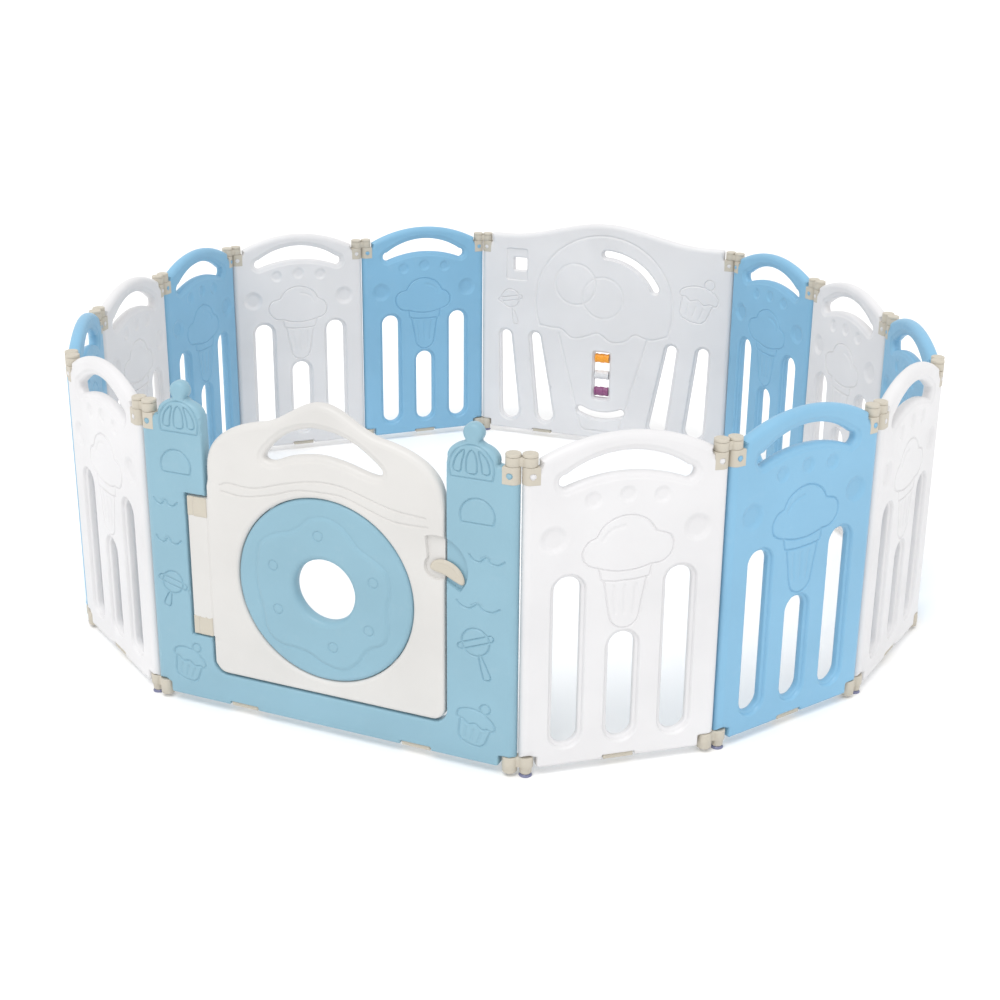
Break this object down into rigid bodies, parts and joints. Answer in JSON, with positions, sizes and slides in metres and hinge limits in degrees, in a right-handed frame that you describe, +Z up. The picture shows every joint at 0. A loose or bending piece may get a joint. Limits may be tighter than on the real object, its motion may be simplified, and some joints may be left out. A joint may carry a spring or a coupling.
{
  "type": "playpen",
  "caption": "Folding ring playpen of moulded panels with a latching gate door, a play panel with spinning rollers, curved hand holds, corner links and suction feet.",
  "frame": {"origin": "on the floor, in the middle of the bounding box of the closed ring", "axes": "+Z up; +X along the gate, from its hinge side to its latch side; the gate faces -Y"},
  "size_m": [1.9398, 1.7852, 0.6444],
  "materials": {
    "white": "satin moulded polyethylene, cool white",
    "door_white": "satin moulded polyethylene, warm white",
    "blue": "satin moulded polyethylene, sky blue",
    "gate_blue": "satin moulded polyethylene, pale blue",
    "beige": "satin moulded plastic, warm beige",
    "suction_cup": "translucent blue-violet soft plastic",
    "orange": "orange moulded plastic",
    "purple": "purple moulded plastic",
    "steel": "drawn steel rod"
  },
  "bodies": {
    "gate": {"gate_frame": "gate_blue", "gate_pad_1": "beige", "gate_pad_2": "beige"},
    "door": {"gate_door": "door_white", "door_donut": "gate_blue", "door_hinge_upper": "beige", "door_hinge_lower": "beige", "latch_pin": "door_white"},
    "latch": {"latch_lever": "beige"},
    "leaf_2": {"panel_2": "white"},
    "leaf_3": {"panel_3": "blue"},
    "leaf_4": {"panel_4": "white"},
    "leaf_5": {"panel_5": "blue"},
    "leaf_6": {"panel_6": "white"},
    "leaf_7": {"panel_7": "blue"},
    "leaf_8": {"activity_panel": "white", "roller_axle_1": "steel", "roller_axle_2": "steel", "roller_axle_3": "steel", "activity_pad_1": "beige", "activity_pad_2": "beige"},
    "leaf_9": {"panel_9": "blue"},
    "leaf_10": {"panel_10": "white"},
    "leaf_11": {"panel_11": "blue"},
    "leaf_12": {"panel_12": "white"},
    "leaf_13": {"panel_13": "blue"},
    "leaf_14": {"panel_14": "white"},
    "corner_1": {"hinge_link_1": "beige", "foot_link_1": "beige"},
    "corner_2": {"hinge_link_2": "beige", "foot_link_2": "beige"},
    "corner_3": {"hinge_link_3": "beige", "foot_link_3": "beige"},
    "corner_4": {"hinge_link_4": "beige", "foot_link_4": "beige"},
    "corner_5": {"hinge_link_5": "beige", "foot_link_5": "beige"},
    "corner_6": {"hinge_link_6": "beige", "foot_link_6": "beige"},
    "corner_7": {"hinge_link_7": "beige", "foot_link_7": "beige"},
    "corner_8": {"hinge_link_8": "beige", "foot_link_8": "beige"},
    "corner_9": {"hinge_link_9": "beige", "foot_link_9": "beige"},
    "corner_10": {"hinge_link_10": "beige", "foot_link_10": "beige"},
    "corner_11": {"hinge_link_11": "beige", "foot_link_11": "beige"},
    "corner_12": {"hinge_link_12": "beige", "foot_link_12": "beige"},
    "corner_13": {"hinge_link_13": "beige", "foot_link_13": "beige"},
    "corner_14": {"hinge_link_14": "beige", "foot_link_14": "beige"},
    "roller_top": {"roller_orange": "orange"},
    "roller_middle": {"roller_white": "white"},
    "roller_bottom": {"roller_purple": "purple"}
  },
  "joints": [
    {"name": "fold_corner_2", "type": "hinge", "parent": "gate", "child": "corner_2", "pos_m": [0.37729, -0.87914, 0.579], "axis": [0, 0, 1], "range_deg": [-28.57, 0]},
    {"name": "fold_leaf_2", "type": "hinge", "parent": "corner_2", "child": "leaf_2", "pos_m": [0.40383, -0.87023, 0.579], "axis": [0, 0, 1], "range_deg": [-28.57, 0]},
    {"name": "fold_corner_3", "type": "hinge", "parent": "leaf_2", "child": "corner_3", "pos_m": [0.67247, -0.66674, 0.579], "axis": [0, 0, 1], "range_deg": [-19.5, 0]},
    {"name": "fold_leaf_3", "type": "hinge", "parent": "corner_3", "child": "leaf_3", "pos_m": [0.69169, -0.64638, 0.579], "axis": [0, 0, 1], "range_deg": [-19.5, 0]},
    {"name": "fold_corner_4", "type": "hinge", "parent": "leaf_3", "child": "corner_4", "pos_m": [0.87942, -0.36652, 0.579], "axis": [0, 0, 1], "range_deg": [-21.24, 0]},
    {"name": "fold_leaf_4", "type": "hinge", "parent": "corner_4", "child": "leaf_4", "pos_m": [0.89019, -0.34067, 0.579], "axis": [0, 0, 1], "range_deg": [-21.24, 0]},
    {"name": "fold_corner_5", "type": "hinge", "parent": "leaf_4", "child": "corner_5", "pos_m": [0.95662, -0.01028, 0.579], "axis": [0, 0, 1], "range_deg": [-27.22, 0]},
    {"name": "fold_leaf_5", "type": "hinge", "parent": "corner_5", "child": "leaf_5", "pos_m": [0.95376, 0.01757, 0.579], "axis": [0, 0, 1], "range_deg": [-27.22, 0]},
    {"name": "fold_corner_6", "type": "hinge", "parent": "leaf_5", "child": "corner_6", "pos_m": [0.82171, 0.32762, 0.579], "axis": [0, 0, 1], "range_deg": [-17.23, 0]},
    {"name": "fold_leaf_6", "type": "hinge", "parent": "corner_6", "child": "leaf_6", "pos_m": [0.80758, 0.35179, 0.579], "axis": [0, 0, 1], "range_deg": [-17.23, 0]},
    {"name": "fold_corner_7", "type": "hinge", "parent": "leaf_6", "child": "corner_7", "pos_m": [0.60226, 0.61903, 0.579], "axis": [0, 0, 1], "range_deg": [-14.74, 0]},
    {"name": "fold_leaf_7", "type": "hinge", "parent": "corner_7", "child": "leaf_7", "pos_m": [0.58342, 0.63975, 0.579], "axis": [0, 0, 1], "range_deg": [-14.74, 0]},
    {"name": "fold_corner_8", "type": "hinge", "parent": "leaf_7", "child": "corner_8", "pos_m": [0.33692, 0.86954, 0.579], "axis": [0, 0, 1], "range_deg": [-32.9, 0]},
    {"name": "fold_leaf_8", "type": "hinge", "parent": "corner_8", "child": "leaf_8", "pos_m": [0.31062, 0.87916, 0.579], "axis": [0, 0, 1], "range_deg": [-32.9, 0]},
    {"name": "fold_corner_9", "type": "hinge", "parent": "leaf_8", "child": "corner_9", "pos_m": [-0.40152, 0.84432, 0.579], "axis": [0, 0, 1], "range_deg": [-30.03, 0]},
    {"name": "fold_leaf_9", "type": "hinge", "parent": "corner_9", "child": "leaf_9", "pos_m": [-0.42733, 0.83345, 0.579], "axis": [0, 0, 1], "range_deg": [-30.03, 0]},
    {"name": "fold_corner_10", "type": "hinge", "parent": "leaf_9", "child": "corner_10", "pos_m": [-0.67438, 0.60425, 0.579], "axis": [0, 0, 1], "range_deg": [-9.5, 0]},
    {"name": "fold_leaf_10", "type": "hinge", "parent": "corner_10", "child": "leaf_10", "pos_m": [-0.69507, 0.58538, 0.579], "axis": [0, 0, 1], "range_deg": [-9.5, 0]},
    {"name": "fold_corner_11", "type": "hinge", "parent": "leaf_10", "child": "corner_11", "pos_m": [-0.94608, 0.36052, 0.579], "axis": [0, 0, 1], "range_deg": [-36.52, 0]},
    {"name": "fold_leaf_11", "type": "hinge", "parent": "corner_11", "child": "leaf_11", "pos_m": [-0.9564, 0.33449, 0.579], "axis": [0, 0, 1], "range_deg": [-36.52, 0]},
    {"name": "fold_corner_12", "type": "hinge", "parent": "leaf_11", "child": "corner_12", "pos_m": [-0.92766, -0.00128, 0.579], "axis": [0, 0, 1], "range_deg": [-14.01, 0]},
    {"name": "fold_leaf_12", "type": "hinge", "parent": "corner_12", "child": "leaf_12", "pos_m": [-0.92333, -0.02894, 0.579], "axis": [0, 0, 1], "range_deg": [-14.01, 0]},
    {"name": "fold_corner_13", "type": "hinge", "parent": "leaf_12", "child": "corner_13", "pos_m": [-0.84805, -0.35742, 0.579], "axis": [0, 0, 1], "range_deg": [-18.52, 0]},
    {"name": "fold_leaf_13", "type": "hinge", "parent": "corner_13", "child": "leaf_13", "pos_m": [-0.83782, -0.38349, 0.579], "axis": [0, 0, 1], "range_deg": [-18.52, 0]},
    {"name": "fold_corner_14", "type": "hinge", "parent": "leaf_13", "child": "corner_14", "pos_m": [-0.66959, -0.6755, 0.579], "axis": [0, 0, 1], "range_deg": [-24.29, 0]},
    {"name": "fold_leaf_14", "type": "hinge", "parent": "corner_14", "child": "leaf_14", "pos_m": [-0.65006, -0.69556, 0.579], "axis": [0, 0, 1], "range_deg": [-24.29, 0]},
    {"name": "fold_corner_1", "type": "hinge", "parent": "leaf_14", "child": "corner_1", "pos_m": [-0.36266, -0.87155, 0.579], "axis": [0, 0, 1], "range_deg": [-25.74, 0]},
    {"name": "door_swing", "type": "hinge", "parent": "gate", "child": "door", "pos_m": [-0.24071, -0.87914, 0.29], "axis": [0, 0, -1], "range_deg": [0, 100]},
    {"name": "latch_turn", "type": "hinge", "parent": "door", "child": "latch", "pos_m": [0.24329, -0.87914, 0.378], "axis": [0, -1, 0], "range_deg": [0, 90]},
    {"name": "roller_top_spin", "type": "hinge", "parent": "leaf_8", "child": "roller_top", "pos_m": [-0.04545, 0.86174, 0.26], "axis": [-0.9988, -0.0489, 0], "continuous": true},
    {"name": "roller_middle_spin", "type": "hinge", "parent": "leaf_8", "child": "roller_middle", "pos_m": [-0.04545, 0.86174, 0.21], "axis": [-0.9988, -0.0489, 0], "continuous": true},
    {"name": "roller_bottom_spin", "type": "hinge", "parent": "leaf_8", "child": "roller_bottom", "pos_m": [-0.04545, 0.86174, 0.16], "axis": [-0.9988, -0.0489, 0], "continuous": true}
  ]
}
